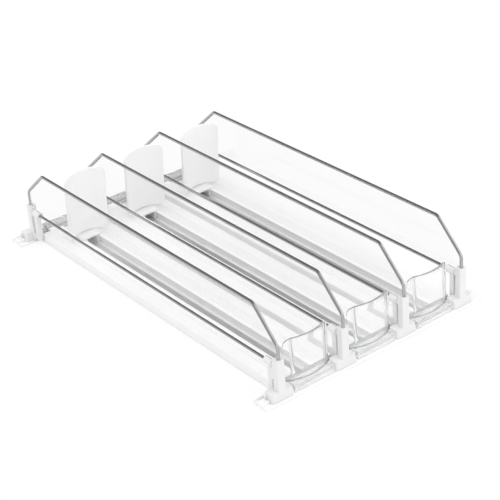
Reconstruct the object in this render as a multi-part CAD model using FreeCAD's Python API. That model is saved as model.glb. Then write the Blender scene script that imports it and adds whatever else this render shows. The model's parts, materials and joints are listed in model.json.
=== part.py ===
"""Spring pusher organizer for drinks cans: three lanes between wire dividers.

Frame: +Z up, +X to the right seen from the front, -Y to the front.
The origin is under the middle of the whole object, on the surface it stands on.
All sizes are in millimetres.
"""

import FreeCAD, Part

import math
import os

V = FreeCAD.Vector

# Every cutting tool goes this far past the faces it cuts
cut_past = 1.0

# Lanes
lane_count = 3
lane_pitch = 70.0

# Rails, one across the front and one across the back
rail_overhang_left = 19.5
rail_overhang_right = 24.5
rail_depth = 17.5
rail_base = 1.6
rail_bevel = 0.8
rack_setback = 6.0
rack_width = 6.4
rack_top = 4.4
rack_pitch = 3.0
rack_groove_width = 1.6
rack_groove_depth = 0.9
rail_lip_width = 1.3
rail_lip_top = 3.6

# Divider wires, measured to their centre lines
wire_diameter = 3.2
wire_span = 389.0
front_leg_setback = 5.2
rear_leg_setback = 4.0
front_knee_z = 51.5
rear_knee_z = 54.6
top_wire_z = 81.3
front_slope_run = 29.6
rear_slope_run = 32.0
knee_radius = 9.0
shoulder_radius = 6.0
lower_wire_z = 32.6
leg_seat_z = 20.0
wire_fit = 0.05

# Clear divider sheets
sheet_thickness = 0.9
sheet_fit = 0.1

# Clips that carry the wires on the rails
post_top_z = 40.0
post_half_width = 4.0
post_ahead = 2.6
post_behind = 4.0
post_round = 1.0
groove_length = 3.0
rib_half_width = 2.5
rib_length = 5.0
web_thickness = 2.0
bridge_height = 4.0
boss_radius = 3.7
boss_reach = 16.5
wire_seat_length = 8.5
foot_half_width = 11.0
foot_top_z = 10.0
foot_setback = 2.6
foot_length = 10.6
foot_bevel = 1.0
latch_height = 2.6
latch_length = 2.0
latch_drop = 1.3
latch_setback = 1.3
rack_fit = 0.3
window_height = 9.0

# Trays
tray_width = 63.5
tray_top_z = 9.0
tray_wall = 1.6
tray_edge_round = 1.2
tray_front_gap = 0.6
tray_rear_gap = 6.4
slot_width = 15.0
slot_lip = 1.2
slot_wall = 1.5
slot_floor = 1.4
glide_count = 4
glide_pitch = 2.6
glide_width = 0.9
glide_height = 0.4
glide_start = 12.6
tongue_width = 10.0
tongue_offset = 15.8
tongue_thickness = 1.6
tongue_hold = 6.0
hook_thickness = 1.8
hook_fit = 0.3

# Clear front stops
stop_fit = 0.4
stop_base_top_z = 9.2
stop_base_wall = 1.8
stop_rib_count = 5
stop_rib_thickness = 1.6
stop_top_z = 50.5
stop_wall = 2.0
stop_nose = 3.4
stop_front_half = 18.5
stop_bulge = 3.5
stop_wing_width = 5.6
stop_wing_sweep = 3.8
stop_crease_round = 3.0
stop_corner_round = 7.5
stop_foot_clearance = 0.5

# Low clear stops behind the trays
rear_stop_top_z = 9.2
rear_stop_rib_count = 7
rear_stop_rib_width = 1.2
rear_stop_rib_depth = 0.8

# Pushers
travel = 315.0
sled_length = 27.0
sled_half_width = 11.0
sled_thickness = 1.8
sled_round = 2.0
sled_nose_from_rear = 42.5
sled_fit = 0.1
keel_thickness = 1.6
keel_fit = 0.3
keel_drop_fit = 0.5
can_radius = 33.0
paddle_setback = 3.5
paddle_width = 45.0
paddle_top_z = 79.5
paddle_thickness = 2.0
paddle_lean = 3.7
paddle_top_round = 5.0
paddle_low_round = 4.0
paddle_floor_gap = 2.4
cheek_thickness = 1.8
cheek_top_z = 54.0
cheek_foot_run = 12.6
cheek_tail_z = 18.0

# Flat springs and their drums
ribbon_width = 10.0
ribbon_thickness = 0.3
coil_radius = 7.0
coil_lift = 0.3
coil_setback = 21.9
coil_side_gap = 0.3
drum_radius = 3.5
drum_fit = 0.05
axle_radius = 1.5
axle_fit = 0.06
rivet_radius = 1.2
rivet_head_radius = 2.6
rivet_head_height = 0.7
rivet_setback = 5.0
rivet_fit = 0.05
rivet_floor = 0.3

# Places that follow from the sizes above
lanes_width = lane_count * lane_pitch
rail_length = rail_overhang_left + lanes_width + rail_overhang_right
rail_x0 = -rail_length / 2
first_divider_x = rail_x0 + rail_overhang_left
rear_rail_shift = front_leg_setback + wire_span - rear_leg_setback
overall_depth = rear_rail_shift + rail_depth
front_rail_y = -overall_depth / 2
rear_rail_y = front_rail_y + rear_rail_shift
front_leg_y = front_rail_y + front_leg_setback
rear_leg_y = rear_rail_y + rear_leg_setback
wire_radius = wire_diameter / 2
tray_front_y = front_rail_y + rail_depth + tray_front_gap
tray_rear_y = rear_rail_y - tray_rear_gap
sled_nose_y = tray_rear_y - sled_nose_from_rear
sled_z = tray_top_z + sled_fit
sled_top_z = sled_z + sled_thickness
coil_y = sled_nose_y + coil_setback
coil_z = slot_floor + ribbon_thickness + coil_lift + coil_radius
keel_inner = ribbon_width / 2 + coil_side_gap + coil_side_gap
rivet_y = tray_front_y + rivet_setback
stop_base_half = lane_pitch / 2 - foot_half_width - latch_length - stop_fit
paddle_low_z = tray_top_z + paddle_floor_gap
paddle_sagitta = can_radius - math.sqrt(can_radius**2 - (paddle_width / 2) ** 2)


def divider_x(index):
    """The plane of one wire divider, counted from the left."""
    return first_divider_x + index * lane_pitch


def lane_x(index):
    """The middle of one lane, counted from the left."""
    return divider_x(index) + lane_pitch / 2


def block(x0, x1, y0, y1, z0, z1):
    """A box between two corners."""
    return Part.makeBox(x1 - x0, y1 - y0, z1 - z0, V(x0, y0, z0))


def prism_along_x(profile, x0, x1):
    """Extrudes a closed (y, z) outline from x0 to x1."""
    points = [V(x0, y, z) for y, z in profile]
    face = Part.Face(Part.makePolygon(points + points[:1]))
    return face.extrude(V(x1 - x0, 0, 0))


def prism_along_y(profile, y0, y1):
    """Extrudes a closed (x, z) outline from y0 to y1."""
    points = [V(x, y0, z) for x, z in profile]
    face = Part.Face(Part.makePolygon(points + points[:1]))
    return face.extrude(V(0, y1 - y0, 0))


def rod_along_x(radius, x0, x1, y, z):
    """A round rod from x0 to x1."""
    return Part.makeCylinder(radius, x1 - x0, V(x0, y, z), V(1, 0, 0))


def rod_along_y(radius, x, y0, y1, z):
    """A round rod from y0 to y1."""
    return Part.makeCylinder(radius, y1 - y0, V(x, y0, z), V(0, 1, 0))


def rod_along_z(radius, x, y, z0, z1):
    """A round rod from z0 to z1."""
    return Part.makeCylinder(radius, z1 - z0, V(x, y, z0))


def upright_edges(shape):
    """The straight edges that run along Z."""
    found = []
    for edge in shape.Edges:
        start, end = edge.Vertexes[0].Point, edge.Vertexes[-1].Point
        across = math.hypot(end.x - start.x, end.y - start.y)
        if across < 1e-6 and abs(end.z - start.z) > 1e-6:
            found.append(edge)
    return found


def edges_along_x(shape):
    """The straight edges that run along X."""
    return [edge for edge in shape.Edges if edge.BoundBox.YLength < 1e-6 and edge.BoundBox.ZLength < 1e-6]


def edges_along_y(shape, z):
    """The straight edges that run along Y at the height z."""
    level = [edge for edge in shape.Edges if abs(edge.BoundBox.Center.z - z) < 1e-6]
    return [edge for edge in level if edge.BoundBox.XLength < 1e-6 and edge.BoundBox.ZLength < 1e-6]


def rounded_block(x0, x1, y0, y1, z0, z1, radius):
    """A box whose upright edges are rounded."""
    shape = block(x0, x1, y0, y1, z0, z1)
    return shape.makeFillet(radius, upright_edges(shape))


def bevelled_block(x0, x1, y0, y1, z0, z1, bevel):
    """A box whose upright edges are bevelled."""
    shape = block(x0, x1, y0, y1, z0, z1)
    return shape.makeChamfer(bevel, upright_edges(shape))


def rack_tunnel(rail_y, x0, x1):
    """The room that a foot leaves for the rack of its rail."""
    y0 = rail_y + rack_setback - rack_fit
    y1 = rail_y + rack_setback + rack_width + rack_fit
    return block(x0, x1, y0, y1, 0, rack_top + rack_fit)


def rail(rail_y):
    """A low moulded rail: a bevelled base, a toothed rack and a rear lip."""
    rack_y0 = rail_y + rack_setback
    rack_y1 = rack_y0 + rack_width
    rear_y = rail_y + rail_depth
    lip_y = rear_y - rail_lip_width
    profile = [
        (rail_y, 0),
        (rear_y, 0),
        (rear_y, rail_lip_top),
        (lip_y, rail_lip_top),
        (lip_y, rail_base),
        (rack_y1, rail_base),
        (rack_y1, rack_top),
        (rack_y0, rack_top),
        (rack_y0, rail_base),
        (rail_y + rail_bevel, rail_base),
        (rail_y, rail_base - rail_bevel),
    ]
    body = prism_along_x(profile, rail_x0, rail_x0 + rail_length)
    grooves = []
    count = int((rail_length - rack_pitch) / rack_pitch)
    first = -(count - 1) * rack_pitch / 2
    for step in range(count):
        x = first + step * rack_pitch
        half = rack_groove_width / 2
        vee = [
            (x - half, rack_top + rack_groove_depth),
            (x - half, rack_top),
            (x, rack_top - rack_groove_depth),
            (x + half, rack_top),
            (x + half, rack_top + rack_groove_depth),
        ]
        grooves.append(prism_along_y(vee, rack_y0 - rack_fit, rack_y1 + rack_fit))
    return body.cut(Part.makeCompound(grooves))


def clip(x, leg_y, inward, rail_y, groove_side):
    """One moulded clip: a foot on the rail, a post for the bent wire, a rib and boss for the straight wire."""

    def along(near, far):
        """The y range between two distances from the wire's leg, counted towards the middle."""
        ends = (leg_y + inward * near, leg_y + inward * far)
        return min(ends), max(ends)

    foot_y0 = rail_y + foot_setback
    foot_y1 = foot_y0 + foot_length
    foot = bevelled_block(
        x - foot_half_width, x + foot_half_width, foot_y0, foot_y1, rail_base, foot_top_z, foot_bevel
    )
    post_y0, post_y1 = along(-post_ahead, post_behind)
    post = rounded_block(
        x - post_half_width, x + post_half_width, post_y0, post_y1, rail_base, post_top_z, post_round
    )
    rib_start = post_behind + groove_length
    rib_end = rib_start + rib_length
    rib_y0, rib_y1 = along(rib_start, rib_end)
    rib_z0 = rail_lip_top + rack_fit
    rib = block(x - rib_half_width, x + rib_half_width, rib_y0, rib_y1, rib_z0, lower_wire_z)
    boss_y0, boss_y1 = along(rib_start, boss_reach)
    boss = rod_along_y(boss_radius, x, boss_y0, boss_y1, lower_wire_z)
    web_y0, web_y1 = along(post_behind - post_round, rib_start + post_round)
    web_x = x - groove_side * (rib_half_width - web_thickness / 2)
    web_low = block(
        web_x - web_thickness / 2, web_x + web_thickness / 2, web_y0, web_y1,
        foot_top_z + window_height, lower_wire_z,
    )
    bridge = block(
        x - rib_half_width, x + rib_half_width, web_y0, web_y1,
        lower_wire_z - bridge_height / 2, lower_wire_z + bridge_height / 2,
    )
    sill = block(x - rib_half_width, x + rib_half_width, web_y0, web_y1, rib_z0, foot_top_z)
    latch_y1 = foot_y1 - latch_setback
    latch_z1 = foot_top_z - latch_drop
    latch = block(
        x - foot_half_width - latch_length, x + foot_half_width + latch_length,
        latch_y1 - latch_height, latch_y1, latch_z1 - latch_height, latch_z1,
    )
    body = foot.fuse([post, rib, boss, web_low, bridge, sill, latch])
    seat = rod_along_z(wire_radius + wire_fit, x, leg_y, leg_seat_z, post_top_z + cut_past)
    wire_y0, wire_y1 = along(boss_reach - wire_seat_length, boss_reach + cut_past)
    straight_seat = rod_along_y(wire_radius + wire_fit, x, wire_y0, wire_y1, lower_wire_z)
    reach = foot_half_width + latch_length + cut_past
    tunnel = rack_tunnel(rail_y, x - reach, x + reach)
    return body.cut([seat, straight_seat, tunnel]).removeSplitter()


def bent_path(corners, radii):
    """A planar path through (y, z) corners, with an arc at each inner corner."""
    points = [V(0, y, z) for y, z in corners]
    edges = []
    start = points[0]
    for index, radius in enumerate(radii, start=1):
        corner = points[index]
        back = (points[index - 1] - corner).normalize()
        ahead = (points[index + 1] - corner).normalize()
        turn = math.pi - back.getAngle(ahead)
        setback = radius * math.tan(turn / 2)
        middle_way = (back + ahead).normalize()
        middle = corner + middle_way * (radius / math.cos(turn / 2) - radius)
        enter = corner + back * setback
        leave = corner + ahead * setback
        edges.append(Part.LineSegment(start, enter).toShape())
        edges.append(Part.Arc(enter, middle, leave).toShape())
        start = leave
    edges.append(Part.LineSegment(start, points[-1]).toShape())
    return Part.Wire(edges)


def top_wire(x):
    """The bent divider wire: two legs, a slope at each end and a level top."""
    corners = [
        (front_leg_y, leg_seat_z + wire_fit),
        (front_leg_y, front_knee_z),
        (front_leg_y + front_slope_run, top_wire_z),
        (rear_leg_y - rear_slope_run, top_wire_z),
        (rear_leg_y, rear_knee_z),
        (rear_leg_y, leg_seat_z + wire_fit),
    ]
    radii = [knee_radius, shoulder_radius, shoulder_radius, knee_radius]
    path = bent_path(corners, radii)
    section = Part.Wire(Part.makeCircle(wire_radius, V(0, corners[0][0], corners[0][1]), V(0, 0, 1)))
    tube = path.makePipeShell([section], True, False)
    tube.translate(V(x, 0, 0))
    return tube


def lower_wire(x):
    """The straight divider wire, held in the bosses at both ends."""
    y0 = front_leg_y + boss_reach - wire_seat_length + wire_fit
    y1 = rear_leg_y - boss_reach + wire_seat_length - wire_fit
    return rod_along_y(wire_radius, x, y0, y1, lower_wire_z)


def divider_sheet(x):
    """The clear sheet that fills a divider between its two wires."""
    edge_gap = wire_radius + sheet_fit
    low = lower_wire_z + edge_gap
    high = top_wire_z - edge_gap
    over_boss = lower_wire_z + boss_radius + sheet_fit
    over_post = post_top_z + sheet_fit
    profile = []
    for leg_y, run, knee_z, inward in (
        (front_leg_y, front_slope_run, front_knee_z, 1),
        (rear_leg_y, rear_slope_run, rear_knee_z, -1),
    ):
        rise = top_wire_z - knee_z
        drop = edge_gap * math.tan(math.atan2(run, rise) / 2)
        lead = edge_gap * math.tan(math.atan2(rise, run) / 2)
        side = [
            (leg_y + inward * (boss_reach + sheet_fit), low),
            (leg_y + inward * (boss_reach + sheet_fit), over_boss),
            (leg_y + inward * (post_behind + sheet_fit), over_boss),
            (leg_y + inward * (post_behind + sheet_fit), over_post),
            (leg_y + inward * edge_gap, over_post),
            (leg_y + inward * edge_gap, knee_z - drop),
            (leg_y + inward * (run + lead), high),
        ]
        profile += side if inward > 0 else side[::-1]
    sheet = prism_along_x(profile, x - sheet_thickness / 2, x + sheet_thickness / 2)
    middle_z = (front_knee_z + top_wire_z) / 2
    shoulders = [edge for edge in edges_along_x(sheet) if edge.BoundBox.ZMin > middle_z]
    sheet = sheet.makeFillet(shoulder_radius - edge_gap, shoulders)
    knees = [edge for edge in edges_along_x(sheet) if over_post + sheet_fit < edge.BoundBox.ZMin < middle_z]
    return sheet.makeFillet(knee_radius - edge_gap, knees)


def tray_profile(x):
    """The tray's section: two walls, a top with glide ridges and a slot whose lips hold the sled."""
    half = tray_width / 2
    trough = slot_width / 2 + slot_lip
    outside = trough + slot_wall
    under_top = tray_top_z - tray_wall
    right = [
        (outside, 0),
        (outside, under_top),
        (half - tray_wall, under_top),
        (half - tray_wall, 0),
        (half, 0),
        (half, tray_top_z),
    ]
    for step in reversed(range(glide_count)):
        centre = glide_start + step * glide_pitch
        right += [
            (centre + glide_width / 2, tray_top_z),
            (centre + glide_width / 2, tray_top_z + glide_height),
            (centre - glide_width / 2, tray_top_z + glide_height),
            (centre - glide_width / 2, tray_top_z),
        ]
    right += [
        (slot_width / 2, tray_top_z),
        (slot_width / 2, under_top),
        (trough, under_top),
        (trough, slot_floor),
    ]
    left = [(-px, pz) for px, pz in reversed(right)]
    return [(x + px, pz) for px, pz in right + left]


def tray(x):
    """One moulded tray: a channel open underneath, with hooked tongues over the rails."""
    body = prism_along_y(tray_profile(x), tray_front_y, tray_rear_y)
    half = tray_width / 2
    outer = [edge for edge in edges_along_y(body, tray_top_z) if abs(edge.BoundBox.XMin - x) > half - 1e-6]
    body = body.makeFillet(tray_edge_round, outer)
    under_top = tray_top_z - tray_wall
    hook_y0 = front_rail_y + rack_setback + rack_width + hook_fit
    hook_y1 = front_rail_y + rail_depth - rail_lip_width - hook_fit
    leg_y1 = rear_rail_y + foot_setback - hook_fit
    pieces = []
    for side in (-1, 1):
        x0 = x + side * tongue_offset - tongue_width / 2
        x1 = x0 + tongue_width
        pieces += [
            block(x0, x1, hook_y0, tray_front_y + tongue_hold, under_top - tongue_thickness, under_top),
            block(x0, x1, hook_y0, hook_y1, rail_base, under_top),
            block(x0, x1, tray_rear_y - tongue_hold, leg_y1, under_top - tongue_thickness, under_top),
            block(x0, x1, leg_y1 - hook_thickness, leg_y1, rail_base, under_top),
        ]
    hole = rod_along_z(rivet_radius + rivet_fit, x, rivet_y, rivet_floor, slot_floor + cut_past)
    return body.fuse(pieces).cut(hole).removeSplitter()


def shield_outline(x, nose_y, far_y, z):
    """A closed outline: a front that bulges as one arc, with a wing swept back at each end."""
    crease_y = nose_y + stop_bulge
    reach = (far_y - crease_y) * stop_wing_width / stop_wing_sweep
    left = V(x - stop_front_half, crease_y, z)
    right = V(x + stop_front_half, crease_y, z)
    left_far = V(x - stop_front_half - reach, far_y, z)
    right_far = V(x + stop_front_half + reach, far_y, z)
    edges = [
        Part.Arc(left, V(x, nose_y, z), right).toShape(),
        Part.LineSegment(right, right_far).toShape(),
        Part.LineSegment(right_far, left_far).toShape(),
        Part.LineSegment(left_far, left).toShape(),
    ]
    return Part.Wire(edges)


def rounded_creases(shape, x, radius):
    """Rounds the upright edges where the bulging front meets its wings."""
    reach = stop_front_half + stop_wall
    creases = [edge for edge in upright_edges(shape) if abs(edge.Vertexes[0].Point.x - x) < reach]
    return shape.makeFillet(radius, creases)


def shield(x, foot_y0, base_y1):
    """The stop's upright wall, bent like a shallow dish, with round top corners."""
    low_z = stop_base_top_z - stop_base_wall
    nose_y = foot_y0 + stop_nose
    end_y = nose_y + stop_bulge + stop_wing_sweep
    outline = shield_outline(x, nose_y, end_y + 2 * stop_wall, low_z)
    rise = V(0, 0, stop_top_z - low_z)
    outer = rounded_creases(Part.Face(outline).extrude(rise), x, stop_crease_round)
    inner = rounded_creases(
        Part.Face(outline.makeOffset2D(-stop_wall)).extrude(rise), x, stop_crease_round - stop_wall
    )
    clear_z = tray_top_z + glide_height + stop_foot_clearance
    side = [
        (foot_y0, low_z),
        (base_y1, low_z),
        (base_y1, clear_z),
        (end_y, clear_z),
        (end_y, stop_top_z),
        (foot_y0, stop_top_z),
    ]
    half = stop_front_half + stop_wing_width
    card = prism_along_x(side, x - half, x + half)
    card = card.makeFillet(stop_corner_round, edges_along_y(card, stop_top_z))
    return outer.cut(inner).common(card)


def front_stop(x):
    """A clear moulded stop: a thin-walled, ribbed base that straddles the rack, and a curved wall."""
    foot_y0 = front_rail_y + foot_setback
    base_y1 = front_rail_y + rack_setback + rack_width
    x0 = x - stop_base_half
    x1 = x + stop_base_half
    base = block(x0, x1, foot_y0, base_y1, rail_base, stop_base_top_z)
    under_top = stop_base_top_z - stop_base_wall
    hollow = block(
        x0 - cut_past, x1 + cut_past, foot_y0 + stop_base_wall, base_y1 + cut_past,
        rail_base - cut_past, under_top,
    )
    ribs = []
    pitch = (2 * stop_base_half - stop_rib_thickness) / (stop_rib_count - 1)
    for step in range(stop_rib_count):
        rib_x = x0 + step * pitch
        ribs.append(block(rib_x, rib_x + stop_rib_thickness, foot_y0, base_y1, rail_base, under_top))
    tunnel = rack_tunnel(front_rail_y, x0 - cut_past, x1 + cut_past)
    body = base.cut(hollow).fuse(ribs + [shield(x, foot_y0, base_y1)])
    return body.cut(tunnel).removeSplitter()


def rear_stop(x):
    """A low clear block behind the tray, ribbed on top, that straddles the rear rack."""
    y0 = rear_rail_y + foot_setback
    x0 = x - stop_base_half
    x1 = x + stop_base_half
    top = rear_stop_top_z
    body = block(x0, x1, y0, y0 + foot_length, rail_base, top)
    cuts = [rack_tunnel(rear_rail_y, x0 - cut_past, x1 + cut_past)]
    pitch = foot_length / rear_stop_rib_count
    for step in range(rear_stop_rib_count):
        low = y0 + step * pitch + rear_stop_rib_width / 2
        high = low + pitch - rear_stop_rib_width
        cuts.append(block(x0 - cut_past, x1 + cut_past, low, high, top - rear_stop_rib_depth, top + cut_past))
    return body.cut(cuts)


def paddle(x):
    """The tall plate that pushes the cans: curved as a can is, rounded at its corners and leaning forward."""
    front_y = sled_nose_y + paddle_setback
    half = paddle_width / 2
    centre_y = front_y + paddle_sagitta - can_radius
    lean = math.radians(paddle_lean)
    high_z = paddle_low_z + (paddle_top_z - paddle_low_z) / math.cos(lean)
    bow = rod_along_z(can_radius + paddle_thickness, x, centre_y, paddle_low_z, high_z)
    bow = bow.cut(rod_along_z(can_radius, x, centre_y, paddle_low_z - cut_past, high_z + cut_past))
    back_y = front_y + paddle_sagitta + paddle_thickness
    card = block(x - half, x + half, front_y - cut_past, back_y + cut_past, paddle_low_z, high_z)
    card = card.makeFillet(paddle_low_round, edges_along_y(card, paddle_low_z))
    card = card.makeFillet(paddle_top_round, edges_along_y(card, high_z))
    plate = bow.common(card)
    plate.rotate(V(x, front_y, paddle_low_z), V(1, 0, 0), paddle_lean)
    return plate


def cheek(x, side):
    """One side wall behind the paddle, with a bore for the drum's axle."""
    middle_y = sled_nose_y + paddle_setback + paddle_sagitta
    slope = math.tan(math.radians(paddle_lean))
    x0 = x + side * (keel_inner + cheek_thickness / 2) - cheek_thickness / 2
    low_y = middle_y - slope * (sled_z - paddle_low_z)
    high_y = middle_y - slope * (cheek_top_z - paddle_low_z)
    tail_y = middle_y + cheek_foot_run
    profile = [
        (low_y, sled_z),
        (tail_y, sled_z),
        (tail_y, cheek_tail_z),
        (high_y + paddle_thickness, cheek_top_z),
        (high_y, cheek_top_z),
    ]
    return prism_along_x(profile, x0, x0 + cheek_thickness)


def keel(x, side):
    """One runner under the sled: a neck through the slot and a foot under its lip."""
    neck_x0 = x + side * (keel_inner + keel_thickness / 2) - keel_thickness / 2
    neck = block(
        neck_x0, neck_x0 + keel_thickness, sled_nose_y, sled_nose_y + sled_length,
        slot_floor + keel_drop_fit, sled_z,
    )
    outer = slot_width / 2 + slot_lip - keel_fit
    foot_x = sorted((x + side * keel_inner, x + side * outer))
    foot = block(
        foot_x[0], foot_x[1], sled_nose_y, sled_nose_y + sled_length,
        slot_floor + keel_drop_fit, tray_top_z - tray_wall - keel_fit,
    )
    return neck.fuse(foot)


def pusher(x):
    """One moulded pusher: sled, runners, paddle and the cheeks that hold the drum."""
    plate = rounded_block(
        x - sled_half_width, x + sled_half_width,
        sled_nose_y, sled_nose_y + sled_length, sled_z, sled_top_z, sled_round,
    )
    window = block(
        x - keel_inner, x + keel_inner,
        coil_y - coil_radius - 2 * coil_side_gap, coil_y + coil_radius + 2 * coil_side_gap,
        sled_z - cut_past, sled_top_z + cut_past,
    )
    parts = [paddle(x)]
    for side in (-1, 1):
        parts += [cheek(x, side), keel(x, side)]
    body = plate.cut(window).fuse(parts)
    bore = rod_along_x(axle_radius + axle_fit, x - sled_half_width, x + sled_half_width, coil_y, coil_z)
    return body.cut(bore).removeSplitter()


def spring_drum(x):
    """The drum inside the coil, with an axle end in each cheek."""
    core = rod_along_x(drum_radius, x - keel_inner + coil_side_gap, x + keel_inner - coil_side_gap, coil_y, coil_z)
    end = keel_inner + cheek_thickness
    axle = rod_along_x(axle_radius, x - end, x + end, coil_y, coil_z)
    return core.fuse(axle).removeSplitter()


def spring_coil(x):
    """The wound turns of the flat spring."""
    half = ribbon_width / 2
    turns = rod_along_x(coil_radius, x - half, x + half, coil_y, coil_z)
    eye = rod_along_x(drum_radius + drum_fit, x - half - cut_past, x + half + cut_past, coil_y, coil_z)
    return turns.cut(eye)


def spring_ribbon(x):
    """The straight length of the flat spring, from its rivet to the coil."""
    half = ribbon_width / 2
    y0 = rivet_y - rivet_head_radius - rivet_fit
    strip = block(x - half, x + half, y0, coil_y, slot_floor, slot_floor + ribbon_thickness)
    return strip.cut(rod_along_z(rivet_radius + rivet_fit, x, rivet_y, 0, tray_top_z))


def ribbon_rivet(x):
    """The rivet that holds the flat spring to the tray's floor."""
    head_z = slot_floor + ribbon_thickness
    shank = rod_along_z(rivet_radius, x, rivet_y, rivet_floor, head_z)
    head = rod_along_z(rivet_head_radius, x, rivet_y, head_z, head_z + rivet_head_height)
    return shank.fuse(head).removeSplitter()


def save(shape, name):
    """Writes one piece as parts/NAME.step."""
    solids = shape.Solids
    if len(solids) != 1 or not shape.isValid():
        raise ValueError(f"{name} isn't one valid solid: {len(solids)}")
    solids[0].exportStep(f"parts/{name}.step")
    print(f"{name}: {solids[0].Volume / 1000:.2f} cm3")


def main():
    """Builds every piece."""
    os.makedirs("parts", exist_ok=True)
    save(rail(front_rail_y), "front_rail")
    save(rail(rear_rail_y), "rear_rail")
    for index in range(lane_count + 1):
        number = index + 1
        x = divider_x(index)
        groove_side = 1 if index == 0 else -1
        save(clip(x, front_leg_y, 1, front_rail_y, groove_side), f"front_clip_{number}")
        save(clip(x, rear_leg_y, -1, rear_rail_y, -groove_side), f"rear_clip_{number}")
        save(top_wire(x), f"top_wire_{number}")
        save(lower_wire(x), f"lower_wire_{number}")
        save(divider_sheet(x), f"divider_sheet_{number}")
    for index in range(lane_count):
        number = index + 1
        x = lane_x(index)
        save(tray(x), f"tray_{number}")
        save(front_stop(x), f"front_stop_{number}")
        save(rear_stop(x), f"rear_stop_{number}")
        save(pusher(x), f"pusher_{number}")
        save(spring_drum(x), f"spring_drum_{number}")
        save(spring_coil(x), f"spring_coil_{number}")
        save(spring_ribbon(x), f"spring_ribbon_{number}")
        save(ribbon_rivet(x), f"ribbon_rivet_{number}")


main()
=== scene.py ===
# %% [markdown]
# # A can organizer with spring pushers
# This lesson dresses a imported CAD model: three lanes for drinks cans between wire dividers, with a
# clear stop at the front of each lane and a white pusher at the back. The solids already have their
# true sizes and places. What is left for Blender is how each surface looks, the thin steel strips
# that shorten as the pushers move, the fine forms of the clear stops, and the light of a white photo
# studio.

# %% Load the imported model
import json
import math

import bmesh
import bpy
from mathutils import Matrix, Vector


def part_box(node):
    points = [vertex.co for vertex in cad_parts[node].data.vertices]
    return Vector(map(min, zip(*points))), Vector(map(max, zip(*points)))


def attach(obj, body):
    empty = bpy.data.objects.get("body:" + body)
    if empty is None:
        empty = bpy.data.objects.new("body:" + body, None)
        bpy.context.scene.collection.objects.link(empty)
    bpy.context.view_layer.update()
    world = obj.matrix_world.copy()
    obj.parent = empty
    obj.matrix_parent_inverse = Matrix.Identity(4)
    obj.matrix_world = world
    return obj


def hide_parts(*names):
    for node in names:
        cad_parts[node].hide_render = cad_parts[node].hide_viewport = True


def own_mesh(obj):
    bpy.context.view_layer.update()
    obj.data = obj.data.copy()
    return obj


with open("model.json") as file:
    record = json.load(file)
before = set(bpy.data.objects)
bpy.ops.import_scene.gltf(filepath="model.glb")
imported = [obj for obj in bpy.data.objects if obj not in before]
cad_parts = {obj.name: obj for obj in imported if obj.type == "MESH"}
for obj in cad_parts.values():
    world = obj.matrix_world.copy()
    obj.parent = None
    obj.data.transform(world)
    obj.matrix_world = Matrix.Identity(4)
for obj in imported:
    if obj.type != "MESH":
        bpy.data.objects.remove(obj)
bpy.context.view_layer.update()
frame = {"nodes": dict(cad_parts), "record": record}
lanes = (1, 2, 3)

# %% [markdown]
# ## The camera
# The photo looks down on the object from its front left. Its vanishing lines gave the camera's place,
# its two angles, a small roll and a long lens. A camera could be aimed with a constraint, but a matrix
# built from the three angles says exactly where it looks, so that is used.

# %% Place the camera
camera_place = Vector((-0.69980, -0.97298, 0.68507))
camera_degrees = (-36.455, 29.079, -4.298)
focal_length = 103.74
film_width = 36

azimuth, elevation, roll = (math.radians(angle) for angle in camera_degrees)
back = Vector((
    math.sin(azimuth) * math.cos(elevation),
    -math.cos(azimuth) * math.cos(elevation),
    math.sin(elevation),
))
level = Vector((math.cos(azimuth), math.sin(azimuth), 0))
above = back.cross(level)
right = level * math.cos(roll) + above * math.sin(roll)
up = above * math.cos(roll) - level * math.sin(roll)

lens = bpy.data.cameras.new("camera")
lens.lens = focal_length
lens.sensor_width = film_width
camera = bpy.data.objects.new("camera", lens)
bpy.context.scene.collection.objects.link(camera)
camera.matrix_world = Matrix.Translation(camera_place) @ Matrix((right, up, back)).transposed().to_4x4()
bpy.context.scene.camera = camera
print("camera", [round(value, 3) for value in camera_place], "lens", lens.lens)

# %% [markdown]
# ## Small helpers for materials
# Every finish below is a node material: a Principled shader fed by noise at the scale of the real
# surface. One helper makes the empty material, one makes the noise, two turn it into a number or a
# colour, and one makes relief. Object coordinates are used, because the CAD meshes have no UVs and the
# pieces must keep their grain when they move.


# %% Make materials and grain
def new_material(name):
    """An empty node material with one Principled shader."""
    material = bpy.data.materials.new(name)
    material.use_nodes = True
    tree = material.node_tree
    tree.nodes.clear()
    output = tree.nodes.new("ShaderNodeOutputMaterial")
    shader = tree.nodes.new("ShaderNodeBsdfPrincipled")
    tree.links.new(shader.outputs["BSDF"], output.inputs["Surface"])
    return material, tree, shader


def noise(tree, scale, detail=2.0, stretch=(1, 1, 1)):
    """Noise that is fixed to the piece, with that many grains to the metre."""
    place = tree.nodes.new("ShaderNodeTexCoord")
    mapping = tree.nodes.new("ShaderNodeMapping")
    mapping.inputs["Scale"].default_value = stretch
    texture = tree.nodes.new("ShaderNodeTexNoise")
    texture.inputs["Scale"].default_value = scale
    texture.inputs["Detail"].default_value = detail
    tree.links.new(place.outputs["Object"], mapping.inputs["Vector"])
    tree.links.new(mapping.outputs["Vector"], texture.inputs["Vector"])
    return texture.outputs["Fac"]


noise_low, noise_high = 0.3, 0.7


def spread(tree, value, low, high):
    """Turns a noise value into a number between low and high."""
    scaled = tree.nodes.new("ShaderNodeMapRange")
    scaled.inputs["From Min"].default_value = noise_low
    scaled.inputs["From Max"].default_value = noise_high
    scaled.inputs["To Min"].default_value = low
    scaled.inputs["To Max"].default_value = high
    tree.links.new(value, scaled.inputs["Value"])
    return scaled.outputs["Result"]


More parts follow.
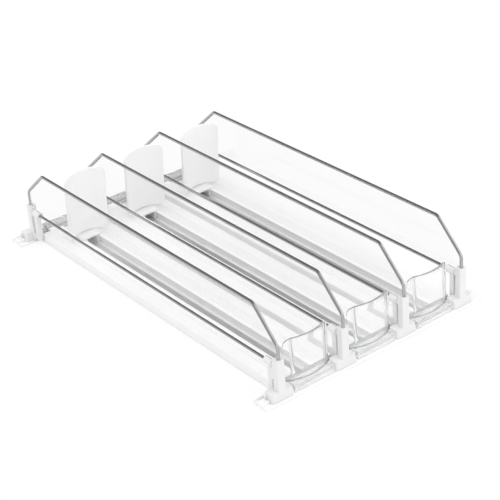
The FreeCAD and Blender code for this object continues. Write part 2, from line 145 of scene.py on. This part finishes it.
def tint(tree, value, dark, light):
    """Turns a noise value into a colour between two colours."""
    ramp = tree.nodes.new("ShaderNodeValToRGB")
    ramp.color_ramp.elements[0].position = noise_low
    ramp.color_ramp.elements[0].color = (*dark, 1)
    ramp.color_ramp.elements[1].position = noise_high
    ramp.color_ramp.elements[1].color = (*light, 1)
    tree.links.new(value, ramp.inputs["Fac"])
    return ramp.outputs["Color"]


def bump(tree, value, depth, shader, edge_radius=0.0):
    """Adds relief of the given depth in metres, on edges rounded by the given radius."""
    relief = tree.nodes.new("ShaderNodeBump")
    if edge_radius:
        rounding = tree.nodes.new("ShaderNodeBevel")
        rounding.samples = 4
        rounding.inputs["Radius"].default_value = edge_radius
        tree.links.new(rounding.outputs["Normal"], relief.inputs["Normal"])
    relief.inputs["Distance"].default_value = depth
    relief.inputs["Strength"].default_value = 1
    tree.links.new(value, relief.inputs["Height"])
    tree.links.new(relief.outputs["Normal"], shader.inputs["Normal"])


# %% [markdown]
# ## White moulded plastic
# The trays, rails, clips and pushers are white plastic with a satin skin. The colour could be one flat
# white, but a real moulding is a little uneven in gloss, so slow noise varies the roughness and fine
# noise makes the faint texture of the mould. Thin white plastic also glows a little where light comes
# from behind, so some of the light soaks in. The clips' white is a shade greyer than that of the trays:
# this is painted shade, so that they come out less bright under the same lamps. One recipe with two sets of
# values makes both.

# %% White plastic
plastic_index = 1.49
mould_grain = 2600
mould_relief = 0.000012
edge_round = 0.0003
soak_depth = 0.002


def moulded_white(name, dark, light, colour_grain, gloss_grain, rough_from, rough_to, soak):
    """White plastic with uneven gloss, the mould's fine texture, and light that soaks in."""
    material, tree, shader = new_material(name)
    tree.links.new(tint(tree, noise(tree, colour_grain), dark, light), shader.inputs["Base Color"])
    tree.links.new(spread(tree, noise(tree, gloss_grain), rough_from, rough_to), shader.inputs["Roughness"])
    bump(tree, noise(tree, mould_grain, 3), mould_relief, shader, edge_radius=edge_round)
    shader.inputs["IOR"].default_value = plastic_index
    shader.inputs["Subsurface Weight"].default_value = soak
    shader.inputs["Subsurface Radius"].default_value = (1, 1, 1)
    shader.inputs["Subsurface Scale"].default_value = soak_depth
    print(name, "has a roughness of", rough_from, "to", rough_to)
    return material


white_plastic = moulded_white(
    "white_plastic", dark=(0.915, 0.916, 0.918), light=(0.93, 0.93, 0.93),
    colour_grain=18, gloss_grain=60, rough_from=0.32, rough_to=0.42, soak=0.25,
)
# The clips' greyer white is painted shade, so that they come out less bright under the same lamps.
clip_painted_shade = moulded_white(
    "clip_painted_shade", dark=(0.79, 0.792, 0.795), light=(0.82, 0.82, 0.82),
    colour_grain=25, gloss_grain=90, rough_from=0.34, rough_to=0.46, soak=0.2,
)

# %% [markdown]
# ## Light through clear plastic
# Real clear plastic hardly shades what is behind it, because nearly all the light goes through. A
# renderer finds that light only by luck, and without help it leaves a dark shadow. So the rays that
# look for light pass straight through with a small loss, and the rays that the eye follows still meet
# the real shader.


# %% Let the light pass
def let_light_through(tree, shader, share):
    """Lets that share of the studio's light pass each face of a clear piece."""
    path = tree.nodes.new("ShaderNodeLightPath")
    either = tree.nodes.new("ShaderNodeMath")
    either.operation = "MAXIMUM"
    tree.links.new(path.outputs["Is Shadow Ray"], either.inputs[0])
    tree.links.new(path.outputs["Is Diffuse Ray"], either.inputs[1])
    passing = tree.nodes.new("ShaderNodeBsdfTransparent")
    passing.inputs["Color"].default_value = (share, share, share, 1)
    mixed = tree.nodes.new("ShaderNodeMixShader")
    tree.links.new(either.outputs[0], mixed.inputs["Fac"])
    tree.links.new(shader.outputs["BSDF"], mixed.inputs[1])
    tree.links.new(passing.outputs["BSDF"], mixed.inputs[2])
    output = next(node for node in tree.nodes if node.type == "OUTPUT_MATERIAL")
    tree.links.new(mixed.outputs[0], output.inputs["Surface"])


# %% [markdown]
# ## Clear moulded plastic
# The front stops are solid clear plastic, so they bend and mirror light at their edges. A real glass
# shader with the plastic's index does that. Slow noise in the relief gives the faint waviness that a
# moulded wall has. The faces that sit on the rack are left matt in such a mould, so the roughness
# rises with depth below them, and the white rack shows there as a soft white.

# %% Clear plastic
matt_below = 0.0050
polished_above = 0.0056
matt_roughness = 0.55

clear_plastic, tree, shader = new_material("clear_plastic")
shader.inputs["Base Color"].default_value = (0.97, 0.972, 0.975, 1)
shader.inputs["Transmission Weight"].default_value = 0.9
shader.inputs["IOR"].default_value = plastic_index
place = tree.nodes.new("ShaderNodeTexCoord")
height = tree.nodes.new("ShaderNodeSeparateXYZ")
tree.links.new(place.outputs["Object"], height.inputs[0])
matt = tree.nodes.new("ShaderNodeMapRange")
matt.inputs["From Min"].default_value = matt_below
matt.inputs["From Max"].default_value = polished_above
matt.inputs["To Min"].default_value = matt_roughness
matt.inputs["To Max"].default_value = 0
tree.links.new(height.outputs["Z"], matt.inputs["Value"])
rougher = tree.nodes.new("ShaderNodeMath")
rougher.operation = "ADD"
tree.links.new(spread(tree, noise(tree, 90), 0.0, 0.02), rougher.inputs[0])
tree.links.new(matt.outputs["Result"], rougher.inputs[1])
tree.links.new(rougher.outputs[0], shader.inputs["Roughness"])
bump(tree, noise(tree, 160, 1), 0.00004, shader)
let_light_through(tree, shader, 0.98)
print("clear plastic: polished, and matt under", 1000 * matt_below, "mm")

# %% [markdown]
# ## Ribbed clear plastic
# The low stops at the back are the same plastic, with a ribbed top and a rougher mould. So much light is
# scattered between the ribs that the block looks grey. The same recipe, darker, does for the ribbed
# shelf of the front stops. Darker still, it is painted shade on the line where their wall meets its bar,
# because little light leaves a tight inner corner.


# %% Grainy clear plastics
def grainy_clear(name, dark, light):
    """Clear plastic with a rough, uneven skin that loses some light."""
    material, tree, shader = new_material(name)
    tree.links.new(tint(tree, noise(tree, 350, 2), dark, light), shader.inputs["Base Color"])
    shader.inputs["Transmission Weight"].default_value = 0.85
    shader.inputs["IOR"].default_value = plastic_index
    tree.links.new(spread(tree, noise(tree, 300), 0.08, 0.2), shader.inputs["Roughness"])
    bump(tree, noise(tree, 420, 2), 0.00015, shader)
    let_light_through(tree, shader, 0.9)
    print(name, "is tinted from", dark[0], "to", light[0])
    return material


ribbed_plastic = grainy_clear("ribbed_clear_plastic", (0.78, 0.785, 0.79), (0.90, 0.905, 0.91))
shelf_plastic = grainy_clear("shelf_plastic", (0.58, 0.585, 0.59), (0.76, 0.765, 0.77))
# Darker still: painted shade for the wall's foot, a tight inner corner.
foot_painted_shade = grainy_clear("foot_painted_shade", (0.34, 0.34, 0.345), (0.44, 0.44, 0.445))

# %% [markdown]
# ## Clear divider sheet
# The dividers are thin clear sheets. They hardly bend the light, so what shows is a faint grey tint
# and a soft sheen. A low index keeps the bending small, and slow noise makes the sheen uneven.

# %% Clear sheet
sheet_tint = (0.950, 0.951, 0.952, 1)

clear_sheet, tree, shader = new_material("clear_sheet")
shader.inputs["Base Color"].default_value = sheet_tint
shader.inputs["Transmission Weight"].default_value = 1
shader.inputs["IOR"].default_value = 1.3
tree.links.new(spread(tree, noise(tree, 40), 0.0, 0.02), shader.inputs["Roughness"])
let_light_through(tree, shader, 0.995)
print("clear sheet: tinted to", sheet_tint[0])

# %% [markdown]
# ## Steel
# The dividers are steel wire with a grey plated skin, which still shows the faint marks of the drawing
# die along it. The flat springs are bare rolled steel: lighter but duller, with fine lines along the
# strip. Both are a metal whose noise is stretched along the piece, so one recipe serves both.


# %% Wire and spring steel
def drawn_steel(name, dark, light, colour_noise, rough_noise, rough_from, rough_to):
    """Metal with marks along its length; each noise is its grain, detail and share along the length."""
    material, tree, shader = new_material(name)
    grain, detail, along = colour_noise
    marks = noise(tree, grain, detail, (1, along, 1))
    tree.links.new(tint(tree, marks, dark, light), shader.inputs["Base Color"])
    shader.inputs["Metallic"].default_value = 1
    grain, detail, along = rough_noise
    gloss = noise(tree, grain, detail, (1, along, 1))
    tree.links.new(spread(tree, gloss, rough_from, rough_to), shader.inputs["Roughness"])
    print(name, "has a roughness of", rough_from, "to", rough_to)
    return material


chromed_wire = drawn_steel(
    "chromed_wire", dark=(0.42, 0.42, 0.425), light=(0.48, 0.48, 0.485),
    colour_noise=(120, 2, 0.1), rough_noise=(400, 2, 0.05), rough_from=0.10, rough_to=0.16,
)
spring_steel = drawn_steel(
    "spring_steel", dark=(0.80, 0.80, 0.805), light=(0.88, 0.88, 0.885),
    colour_noise=(700, 3, 0.02), rough_noise=(500, 2, 0.05), rough_from=0.52, rough_to=0.62,
)

# %% [markdown]
# ## Drum plastic
# The drums inside the springs are plain matt plastic, and hardly show. A slightly uneven grey and a
# faint relief are enough.

# %% Drum plastic
drum_plastic, tree, shader = new_material("drum_plastic")
drum_dark, drum_light = (0.70, 0.70, 0.70), (0.78, 0.78, 0.78)
tree.links.new(tint(tree, noise(tree, 60), drum_dark, drum_light), shader.inputs["Base Color"])
shader.inputs["Roughness"].default_value = 0.55
bump(tree, noise(tree, 2000, 2), 0.00001, shader)
print("drum plastic: matt, grey", drum_dark[0], "to", drum_light[0])

# %% [markdown]
# ## A finish for each node
# The imported record names a material slot for every node, so the finishes could be given out by slot
# alone. The clips get the greyer white with painted shade, and the rear stops the ribbed plastic, though
# they share slots with other pieces, so they are named as exceptions.

# %% Give each node its finish
finishes = {
    "white_plastic": white_plastic,
    "clear_plastic": clear_plastic,
    "clear_sheet": clear_sheet,
    "chromed_wire": chromed_wire,
    "spring_steel": spring_steel,
    "drum_plastic": drum_plastic,
}
exceptions = {"front_clip": clip_painted_shade, "rear_clip": clip_painted_shade, "rear_stop": ribbed_plastic}
slot_of = {part["node"]: part["material_slot"] for part in frame["record"]["subparts"]}
for name, piece in frame["nodes"].items():
    kind = name[:-2]
    piece.data.materials.clear()
    piece.data.materials.append(exceptions.get(kind, finishes[slot_of[name]]))
print("finished", len(frame["nodes"]), "nodes")

# %% [markdown]
# ## Two helpers for new pieces
# The springs are thin strips of steel, flat in the slot and wound on the drum. They could be planes
# with a Solidify modifier. Two grids of points, one above the other, say exactly where both sides lie,
# so these are joined into a closed sheet. A second helper turns any finished form into a piece.


# %% Closed sheets and new pieces
def closed_sheet(form, upper, lower):
    """Joins two grids of points, one above the other, into one closed sheet."""
    over = [[form.verts.new(point) for point in row] for row in upper]
    under = [[form.verts.new(point) for point in row] for row in lower]
    last_row, last_column = len(over) - 1, len(over[0]) - 1
    for row in range(last_row):
        top, next_top = over[row], over[row + 1]
        base, next_base = under[row], under[row + 1]
        for column in range(last_column):
            beside = column + 1
            form.faces.new((top[column], top[beside], next_top[beside], next_top[column]))
            form.faces.new((next_base[column], next_base[beside], base[beside], base[column]))
        for side in (0, last_column):
            form.faces.new((top[side], next_top[side], next_base[side], base[side]))
    for top, base in ((over[0], under[0]), (over[-1], under[-1])):
        for column in range(last_column):
            beside = column + 1
            form.faces.new((top[column], top[beside], base[beside], base[column]))


sharp_angle = math.radians(35)


def new_piece(name, form, slot):
    """Turns a bmesh into a piece that has a finish and smooth faces between its sharp edges."""
    bmesh.ops.recalc_face_normals(form, faces=form.faces)
    mesh = bpy.data.meshes.new(name)
    form.to_mesh(mesh)
    form.free()
    mesh.shade_smooth()
    mesh.set_sharp_from_angle(angle=sharp_angle)
    mesh.materials.append(finishes[slot])
    piece = bpy.data.objects.new(name, mesh)
    bpy.context.scene.collection.objects.link(piece)
    return piece


# %% [markdown]
# ## The springs' strips
# A flat strip of spring steel is riveted at the front of each slot and draws the pusher forward. The
# imported model has a plain bar there. A bar can't get shorter, so a thin strip takes its place. A
# rolled strip keeps a slight trough across its width, and that gives it its line of light. Its rear end
# rises to meet the wound turns.

# %% Strips on the slot floors
strip_thickness = 0.00012
strip_trough = 0.00012
strip_columns = 8
strip_rows = 80
row_crowding = 1.6
end_round_share = 0.6
rise_length = 0.02


def strip_surface(low, high, rise_height):
    """Rows of points on the strip's upper side, from its round front end to its risen rear end."""
    middle_x = (low.x + high.x) / 2
    half_width = (high.x - low.x) / 2
    end_round = half_width * end_round_share
    rows = []
    for row in range(strip_rows + 1):
        y = low.y + (high.y - low.y) * (row / strip_rows) ** row_crowding
        along = min(y - low.y, end_round)
        half = half_width - end_round + math.sqrt(end_round ** 2 - (end_round - along) ** 2)
        rise = max(0.0, 1 - (high.y - y) / rise_length) ** 2
        z = low.z + rise_height * rise + strip_thickness
        line = []
        for column in range(strip_columns + 1):
            across = 2 * column / strip_columns - 1
            line.append(Vector((middle_x + half * across, y, z + strip_trough * across ** 2)))
        rows.append(line)
    return rows


for lane in lanes:
    low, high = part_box(f"spring_ribbon_{lane}")
    middle_x = (low.x + high.x) / 2
    coil_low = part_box(f"spring_coil_{lane}")[0]
    upper = strip_surface(low, high, coil_low.z - low.z)
    lower = [[point - Vector((0, 0, strip_thickness)) for point in line] for line in upper]
    form = bmesh.new()
    closed_sheet(form, upper, lower)
    strip = new_piece(f"spring_strip_{lane}", form, "spring_steel")
    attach(strip, "organizer")
    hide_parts(f"spring_ribbon_{lane}")
    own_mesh(strip)

# %% [markdown]
# ## The wound turns
# Behind each plate the rest of the strip is wound on a drum. One thick ring could stand for it, but the
# edges of the turns show from behind and above, so the strip is wound here as a real spiral. Its outer
# end starts under the drum, where the straight strip arrives.

# %% Wound strips on the drums
turn_gap = 0.00034
steps_per_turn = 40

for lane in lanes:
    low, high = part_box(f"spring_coil_{lane}")
    drum_low, drum_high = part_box(f"spring_drum_{lane}")
    centre = (low + high) / 2
    outer_radius = (high.z - low.z) / 2
    inner_radius = (drum_high.z - drum_low.z) / 2
    turns = (outer_radius - inner_radius - strip_thickness) / turn_gap
    upper, lower = [], []
    step_count = round(turns * steps_per_turn)
    for step in range(step_count + 1):
        angle = 2 * math.pi * turns * step / step_count
        radius = outer_radius - turn_gap * angle / (2 * math.pi)
        for rows, reach in ((upper, radius), (lower, radius - strip_thickness)):
            y, z = centre.y + reach * math.sin(angle), centre.z - reach * math.cos(angle)
            rows.append([Vector((low.x, y, z)), Vector((high.x, y, z))])
    form = bmesh.new()
    closed_sheet(form, upper, lower)
    wound = new_piece(f"wound_strip_{lane}", form, "spring_steel")
    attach(wound, f"drum_{lane}")
    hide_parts(f"spring_coil_{lane}")
print("wound", round(turns, 1), "turns on each drum")

# %% [markdown]
# ## The clear front stops: the line that the wall follows
# A stop is one clear moulding: a wall that bulges forwards with a wing swept back at each end, on a bar
# that sits over the toothed rack. The bulge is the arc of a circle seen from above and the wings are
# straight, so the line comes from the wall's width and depth, and no points are drawn by hand.

# %% Plan line of the wall
front_half = 0.0185
bulge = 0.0035
wing_width = 0.0056
wing_sweep = 0.0038
bulge_radius = (front_half ** 2 + bulge ** 2) / (2 * bulge)


def wall_plan(steps_front=28, steps_wing=9):
    """Points of the wall's front face seen from above, from the left tip to the right tip."""
    half_angle = math.asin(front_half / bulge_radius)
    points = []
    for step in range(steps_wing):
        share = 1 - step / steps_wing
        points.append((-front_half - wing_width * share, bulge + wing_sweep * share))
    for step in range(steps_front + 1):
        angle = half_angle * (2 * step / steps_front - 1)
        points.append((bulge_radius * math.sin(angle), bulge_radius * (1 - math.cos(angle))))
    for step in range(1, steps_wing + 1):
        share = step / steps_wing
        points.append((front_half + wing_width * share, bulge + wing_sweep * share))
    return [Vector((x, y, 0)) for x, y in points]


plan = wall_plan()
print("the plan line has", len(plan), "points and a radius of", round(1000 * bulge_radius, 1), "mm")

# %% [markdown]
# ## The wall's section
# A moulded wall has a round rim, and a curved foot on both sides where it meets its bar. That foot is
# the dark arc that one sees through the clear wall, and its dark comes partly from what the clear plastic
# bends and mirrors, and partly from painted shade in its finish. A box with bevelled edges could have
# both, but one section that is set along the plan line also gives the wall its falling corners and the thin
# ridge at each crease.

# %% Section once round the wall
wall_thickness = 0.002
rim_radius = wall_thickness / 2
foot_sink = 0.0004
foot_steps = 5
rim_steps = 8
face_steps = 6


def wall_section(top_z, foot_z, foot):
    """Pairs of depth behind the front face and height, once round the wall's section."""
    quarter = [math.pi / 2 * step / foot_steps for step in range(foot_steps + 1)]
    half_turn = [math.pi * step / rim_steps for step in range(rim_steps + 1)]
    rim_z = top_z - rim_radius
    face_z = foot_z + foot
    rises = [(rim_z - foot_z - foot) * step / face_steps for step in range(1, face_steps)]
    points = [(-foot + foot * math.sin(turn), face_z - foot * math.cos(turn)) for turn in quarter]
    points += [(0, face_z + rise) for rise in rises]
    for turn in half_turn:
        points.append((rim_radius - rim_radius * math.cos(turn), rim_z + rim_radius * math.sin(turn)))
    points += [(wall_thickness, rim_z - rise) for rise in rises]
    for turn in reversed(quarter):
        points.append((wall_thickness + foot - foot * math.sin(turn), face_z - foot * math.cos(turn)))
    return points + [(wall_thickness + foot, foot_z - foot_sink), (-foot, foot_z - foot_sink)]


print("the wall is", 1000 * wall_thickness, "mm thick, and its rim's radius is", 1000 * rim_radius, "mm")

# %% [markdown]
# ## The wall along its line
# The section stands square to the plan line at each point. Over the bar it has its curved foot. The
# wings reach past the bar's ends, and there the wall starts a little higher and has nearly no foot.

# %% Wall with a round rim and foot
bar_top = 0.0092
corner_round = 0.0075
foot_round = 0.0009
crease_ridge = 0.0005
bar_end_margin = 0.001
wing_foot = 0.0001
wing_lift = 0.0012
same_place = 0.0001


def wall_form(middle_x, nose_y, top_z, bar_half):
    """The wall as a closed form, made of one section at each point of the plan line."""
    form = bmesh.new()
    sections = []
    tip = front_half + wing_width
    for index, point in enumerate(plan):
        before, after = plan[max(index - 1, 0)], plan[min(index + 1, len(plan) - 1)]
        at_crease = abs(abs(point.x) - front_half) < same_place
        along = (after - before).normalized()
        backwards = Vector((-along.y, along.x, 0))
        inset = min(max(tip - abs(point.x), 0.0), corner_round)
        top = top_z - corner_round + math.sqrt(corner_round ** 2 - (corner_round - inset) ** 2)
        on_bar = abs(point.x) < bar_half - bar_end_margin
        foot, foot_z = (foot_round, bar_top) if on_bar else (wing_foot, bar_top + wing_lift)
        section = []
        for depth, z in wall_section(top, foot_z, foot):
            if at_crease:
                depth = depth + (crease_ridge if depth > rim_radius else -crease_ridge)
            place = point + backwards * depth
            section.append(form.verts.new((middle_x + place.x, nose_y + place.y, z)))
        sections.append(section)
    count = len(sections[0])
    for left, right in zip(sections, sections[1:]):
        for index in range(count):
            after = (index + 1) % count
            form.faces.new((left[index], right[index], right[after], left[after]))
    form.faces.new(sections[0])
    form.faces.new(sections[-1])
    return form


# %% [markdown]
# ## The bar and its ribbed shelf
# Clear plastic shows every hidden face, so the bar is solid and smooth here. A ribbed shelf behind the
# wall reaches back to the tray, and it looks grey and grainy through the wall, as the stops at the back
# do. The bar has one outline all along, so that outline is drawn from the side and pulled out to the
# bar's width.

# %% Bar that sits over the rack, with its ribbed shelf
shelf_under = 0.0075
shelf_rib_pitch = 0.0011
shelf_rib_depth = 0.0005
groove_start_share = 0.4
groove_share = 0.4
rib_slope = 0.0001
rack_fit = 0.0003
rack_top = 0.0044
bar_edge_round = 0.0006
rear_edge_margin = 0.0005


def bar_form(middle_x, half, front_y, rear_y, low_z, rack_front, shelf_y):
    """A bar whose underside clears the rack, with a ribbed shelf at its back."""
    form = bmesh.new()
    side = [
        (front_y, low_z), (rack_front - rack_fit, low_z), (rack_front - rack_fit, rack_top + rack_fit),
        (rear_y, rack_top + rack_fit), (rear_y, shelf_under), (shelf_y, shelf_under), (shelf_y, bar_top),
    ]
    groove_z = bar_top - shelf_rib_depth
    for rib in range(int((shelf_y - rear_y) / shelf_rib_pitch)):
        groove_rear = shelf_y - (rib + groove_start_share) * shelf_rib_pitch
        groove_front = groove_rear - groove_share * shelf_rib_pitch
        side += [
            (groove_rear, bar_top), (groove_rear - rib_slope, groove_z),
            (groove_front, groove_z), (groove_front - rib_slope, bar_top),
        ]
    side += [(rear_y, bar_top), (front_y, bar_top)]
    face = form.faces.new([form.verts.new((middle_x - half, y, z)) for y, z in side])
    extruded = bmesh.ops.extrude_face_region(form, geom=[face])
    moved = [item for item in extruded["geom"] if isinstance(item, bmesh.types.BMVert)]
    bmesh.ops.translate(form, verts=moved, vec=(2 * half, 0, 0))
    limit = rear_y - rear_edge_margin
    front_edges = [edge for edge in form.edges if all(vert.co.y < limit for vert in edge.verts)]
    bmesh.ops.bevel(
        form, geom=front_edges, offset=bar_edge_round, segments=3, affect="EDGES", profile=0.5
    )
    return form


# %% [markdown]
# ## Wall and bar become one piece
# A real moulding has no seam inside, and in clear plastic a seam would show as a mirror. So the two
# forms are joined by an exact Boolean, which leaves one skin. The faces of the shelf and the bar's two ends
# then get the grainy finish, the curved foot gets painted shade, and all the rest keeps the clear one.

# %% Finish by face
end_facing = 0.9


def finish_stop(mesh, rear_y):
    """Gives the shelf and the bar's ends their grainy finish, and the wall's foot its painted shade."""
    for material in (shelf_plastic, foot_painted_shade):
        mesh.materials.append(material)
    grainy = mesh.materials.find(shelf_plastic.name)
    corner = mesh.materials.find(foot_painted_shade.name)
    for face in mesh.polygons:
        y, z = face.center.y, face.center.z
        on_shelf = y > rear_y - same_place and shelf_under - same_place < z < bar_top + same_place
        at_end = abs(face.normal.x) > end_facing and z < bar_top
        at_foot = bar_top + same_place < z < bar_top + foot_round
        # The foot's faces get the painted shade.
        face.material_index = grainy if on_shelf or at_end else corner if at_foot else 0


# %% Join wall and bar
bar_half = 0.0216
bar_reach = 0.0064
nose_setback = 0.0034
rack_setback = 0.006
shelf_gap = 0.0051

for lane in lanes:
    low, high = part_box(f"front_stop_{lane}")
    middle_x = (low.x + high.x) / 2
    rack_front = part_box("front_rail")[0].y + rack_setback
    rear_y = rack_front + bar_reach
    shelf_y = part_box(f"tray_{lane}")[0].y + shelf_gap
    form = wall_form(middle_x, low.y + nose_setback, high.z, bar_half)
    stop = new_piece(f"clear_stop_{lane}", form, "clear_plastic")
    form = bar_form(middle_x, bar_half, low.y, rear_y, low.z, rack_front, shelf_y)
    bar = new_piece(f"stop_bar_{lane}", form, "clear_plastic")
    join = stop.modifiers.new("join", "BOOLEAN")
    join.operation = "UNION"
    join.solver = "EXACT"
    join.object = bar
    joined = bpy.data.meshes.new_from_object(stop.evaluated_get(bpy.context.evaluated_depsgraph_get()))
    stop.modifiers.clear()
    stop.data = joined
    finish_stop(joined, rear_y)
    joined.shade_smooth()
    joined.set_sharp_from_angle(angle=sharp_angle)
    bpy.data.objects.remove(bar)
    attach(stop, "organizer")
    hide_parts(f"front_stop_{lane}")
    spans = [round(1000 * value, 1) for value in stop.dimensions]
    print("stop", lane, spans, "mm,", len(joined.polygons), "faces")

# %% [markdown]
# ## The studio's white
# The photo's background is white, yet the object is lit softly. Light that is strong enough for such a
# white would burn out the object. So the white comes from the floor's and the world's own materials,
# and only where the camera, a mirror or clear plastic looks at them.


# %% Rays that look
def largest(tree, one, other):
    """The larger of two values."""
    node = tree.nodes.new("ShaderNodeMath")
    node.operation = "MAXIMUM"
    tree.links.new(one, node.inputs[0])
    tree.links.new(other, node.inputs[1])
    return node.outputs[0]


def seen_rays(tree):
    """1 where the camera, a mirror or clear plastic looks, and 0 for the light that falls on things."""
    path = tree.nodes.new("ShaderNodeLightPath")
    direct = largest(tree, path.outputs["Is Camera Ray"], path.outputs["Is Glossy Ray"])
    return largest(tree, direct, path.outputs["Is Transmission Ray"])


# %% [markdown]
# ## The floor
# The floor is a large pale rectangle. It keeps a quarter of its plain shading in what is seen, and with
# it the object's soft shadow.

# %% Floor
floor_half = 6.0
floor_drop = 0.0002
floor_glow = 0.75


def floor_patch(name, corners, drop):
    """A flat patch of the studio's floor with four corners, that far under the object."""
    mesh = bpy.data.meshes.new(name)
    mesh.from_pydata([(x, y, -drop) for x, y in corners], [], [(0, 1, 2, 3)])
    patch = bpy.data.objects.new(name, mesh)
    bpy.context.scene.collection.objects.link(patch)
    return patch


floor_corners = [(x * floor_half, y * floor_half) for x, y in ((-1, -1), (1, -1), (1, 1), (-1, 1))]
floor = floor_patch("floor", floor_corners, floor_drop)
floor_white = bpy.data.materials.new("floor_white")
floor_white.use_nodes = True
tree = floor_white.node_tree
tree.nodes.clear()
plain = tree.nodes.new("ShaderNodeBsdfDiffuse")
plain.inputs["Color"].default_value = (0.9, 0.9, 0.9, 1)
glow = tree.nodes.new("ShaderNodeEmission")
glow.inputs["Color"].default_value = (1, 1, 1, 1)
share = tree.nodes.new("ShaderNodeMath")
share.operation = "MULTIPLY"
share.inputs[1].default_value = floor_glow
tree.links.new(seen_rays(tree), share.inputs[0])
blend = tree.nodes.new("ShaderNodeMixShader")
tree.links.new(share.outputs[0], blend.inputs["Fac"])
tree.links.new(plain.outputs[0], blend.inputs[1])
tree.links.new(glow.outputs[0], blend.inputs[2])
output = tree.nodes.new("ShaderNodeOutputMaterial")
tree.links.new(blend.outputs[0], output.inputs["Surface"])
floor.data.materials.append(floor_white)
print("the floor is", 2 * floor_half, "m wide, and", 1 - floor_glow, "of its look is plain shading")

# %% [markdown]
# ## The floor under the object
# Between the trays one looks down at a floor that the object shades. The glowing floor would stay
# light in those open strips. So a second patch, with a plain finish and no glow, lies just over it. It
# is as wide as the three trays together, and reaches from their front ends back to the rear rail.

# %% The shaded floor under the object
under_drop = 0.0001

left_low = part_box("tray_1")[0]
right_low, right_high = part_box("tray_3")
rail_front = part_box("rear_rail")[0].y
under_corners = [
    (left_low.x, left_low.y), (right_high.x, right_low.y),
    (right_high.x, rail_front), (left_low.x, rail_front),
]
under = floor_patch("floor_under_object", under_corners, under_drop)
floor_plain = bpy.data.materials.new("floor_plain")
floor_plain.use_nodes = True
shader = floor_plain.node_tree.nodes["Principled BSDF"]
shader.inputs["Base Color"].default_value = (0.85, 0.85, 0.85, 1)
shader.inputs["Roughness"].default_value = 0.9
under.data.materials.append(floor_plain)
print("the floor keeps its full shade over", [round(1000 * value) for value in under.dimensions[:2]], "mm")

# %% [markdown]
# ## The surround
# A white tent round the object gives the even light of such a photo, and the world does that here.
# With the lamps below, a colour comes out about as it is written. What is seen behind the object is
# white in full.

# %% World
tent_light = 0.9
backdrop_white = 1

world = bpy.data.worlds.new("studio")
bpy.context.scene.world = world
world.use_nodes = True
tree = world.node_tree
tree.nodes.clear()
dome = tree.nodes.new("ShaderNodeBackground")
dome.inputs["Color"].default_value = (1, 1, 1, 1)
dome.inputs["Strength"].default_value = tent_light
backdrop = tree.nodes.new("ShaderNodeBackground")
backdrop.inputs["Color"].default_value = (1, 1, 1, 1)
backdrop.inputs["Strength"].default_value = backdrop_white
blend = tree.nodes.new("ShaderNodeMixShader")
tree.links.new(seen_rays(tree), blend.inputs["Fac"])
tree.links.new(dome.outputs[0], blend.inputs[1])
tree.links.new(backdrop.outputs[0], blend.inputs[2])
output = tree.nodes.new("ShaderNodeOutputWorld")
tree.links.new(blend.outputs[0], output.inputs["Surface"])
print("the tent's light is", tent_light, "and the backdrop's white is", backdrop_white)

# %% [markdown]
# ## The lamps
# A wide softbox above gives a soft direction to the light, and a smaller one in front on the right
# lights the faces that look forwards. Only the front one shows in mirrors.


# %% Lamps
def softbox(name, place, width, power, mirrored):
    """A square lamp that faces the object."""
    lamp = bpy.data.lights.new(name, "AREA")
    lamp.size = width
    lamp.energy = power
    holder = bpy.data.objects.new(name, lamp)
    bpy.context.scene.collection.objects.link(holder)
    holder.location = place
    holder.rotation_euler = Vector(place).to_track_quat("Z", "Y").to_euler()
    holder.visible_glossy = mirrored
    print(name, width, "m wide,", power, "W")


softbox("top_light", (-0.2, 0.1, 1.6), width=1.6, power=9.5, mirrored=False)
softbox("front_light", (0.76, -1.52, 0.86), width=1.2, power=5, mirrored=True)

# %% [markdown]
# ## A dark canopy for the mirrors
# Bright metal and clear plastic have no look of their own: they show what is around them. In an all
# white room they vanish. A photographer keeps the ceiling dark and the table white, so each wire gets
# a dark upper half and a light lower half. A dome of dark grey cloth does that here, with an opening
# at the front right, so that the slopes at the front mirror the light room. It starts above the
# horizon, only mirrors and clear plastic see it, and it takes no light from the object.

# %% Dark canopy
canopy_radius = 4.0
canopy_start = math.radians(12)
ring_count = 8
side_count = 48
opening_middle = 300
opening_width = 140
opening_rings = 5

mesh = bpy.data.meshes.new("canopy")
cloth = bmesh.new()
rings = []
for ring in range(ring_count):
    rise = canopy_start + (math.pi / 2 - canopy_start) * ring / ring_count
    loop = []
    for side in range(side_count):
        turn = 2 * math.pi * side / side_count
        loop.append(cloth.verts.new((
            canopy_radius * math.cos(rise) * math.cos(turn),
            canopy_radius * math.cos(rise) * math.sin(turn),
            canopy_radius * math.sin(rise),
        )))
    rings.append(loop)
peak = cloth.verts.new((0, 0, canopy_radius))
for side in range(side_count):
    after = (side + 1) % side_count
    in_front = abs((side + 0.5) * 360 / side_count - opening_middle) < opening_width / 2
    for ring, (below, over) in enumerate(zip(rings, rings[1:])):
        if not (in_front and ring < opening_rings):
            cloth.faces.new((below[side], below[after], over[after], over[side]))
    cloth.faces.new((rings[-1][side], rings[-1][after], peak))
cloth.to_mesh(mesh)
cloth.free()
print("canopy of", len(mesh.polygons), "faces, from", round(math.degrees(canopy_start)), "degrees up")

# %% Hang the canopy
canopy = bpy.data.objects.new("canopy", mesh)
bpy.context.scene.collection.objects.link(canopy)
dark_cloth = bpy.data.materials.new("dark_cloth")
dark_cloth.use_nodes = True
shader = dark_cloth.node_tree.nodes["Principled BSDF"]
shader.inputs["Base Color"].default_value = (0.33, 0.33, 0.33, 1)
shader.inputs["Roughness"].default_value = 1
mesh.materials.append(dark_cloth)
canopy.visible_camera = False
canopy.visible_diffuse = False
canopy.visible_shadow = False

# %% [markdown]
# ## The view
# Blender's film-like views would grey the whites, so the plain Standard view is used.

# %% Plain view
bpy.context.scene.view_settings.view_transform = "Standard"
print("view transform:", bpy.context.scene.view_settings.view_transform)
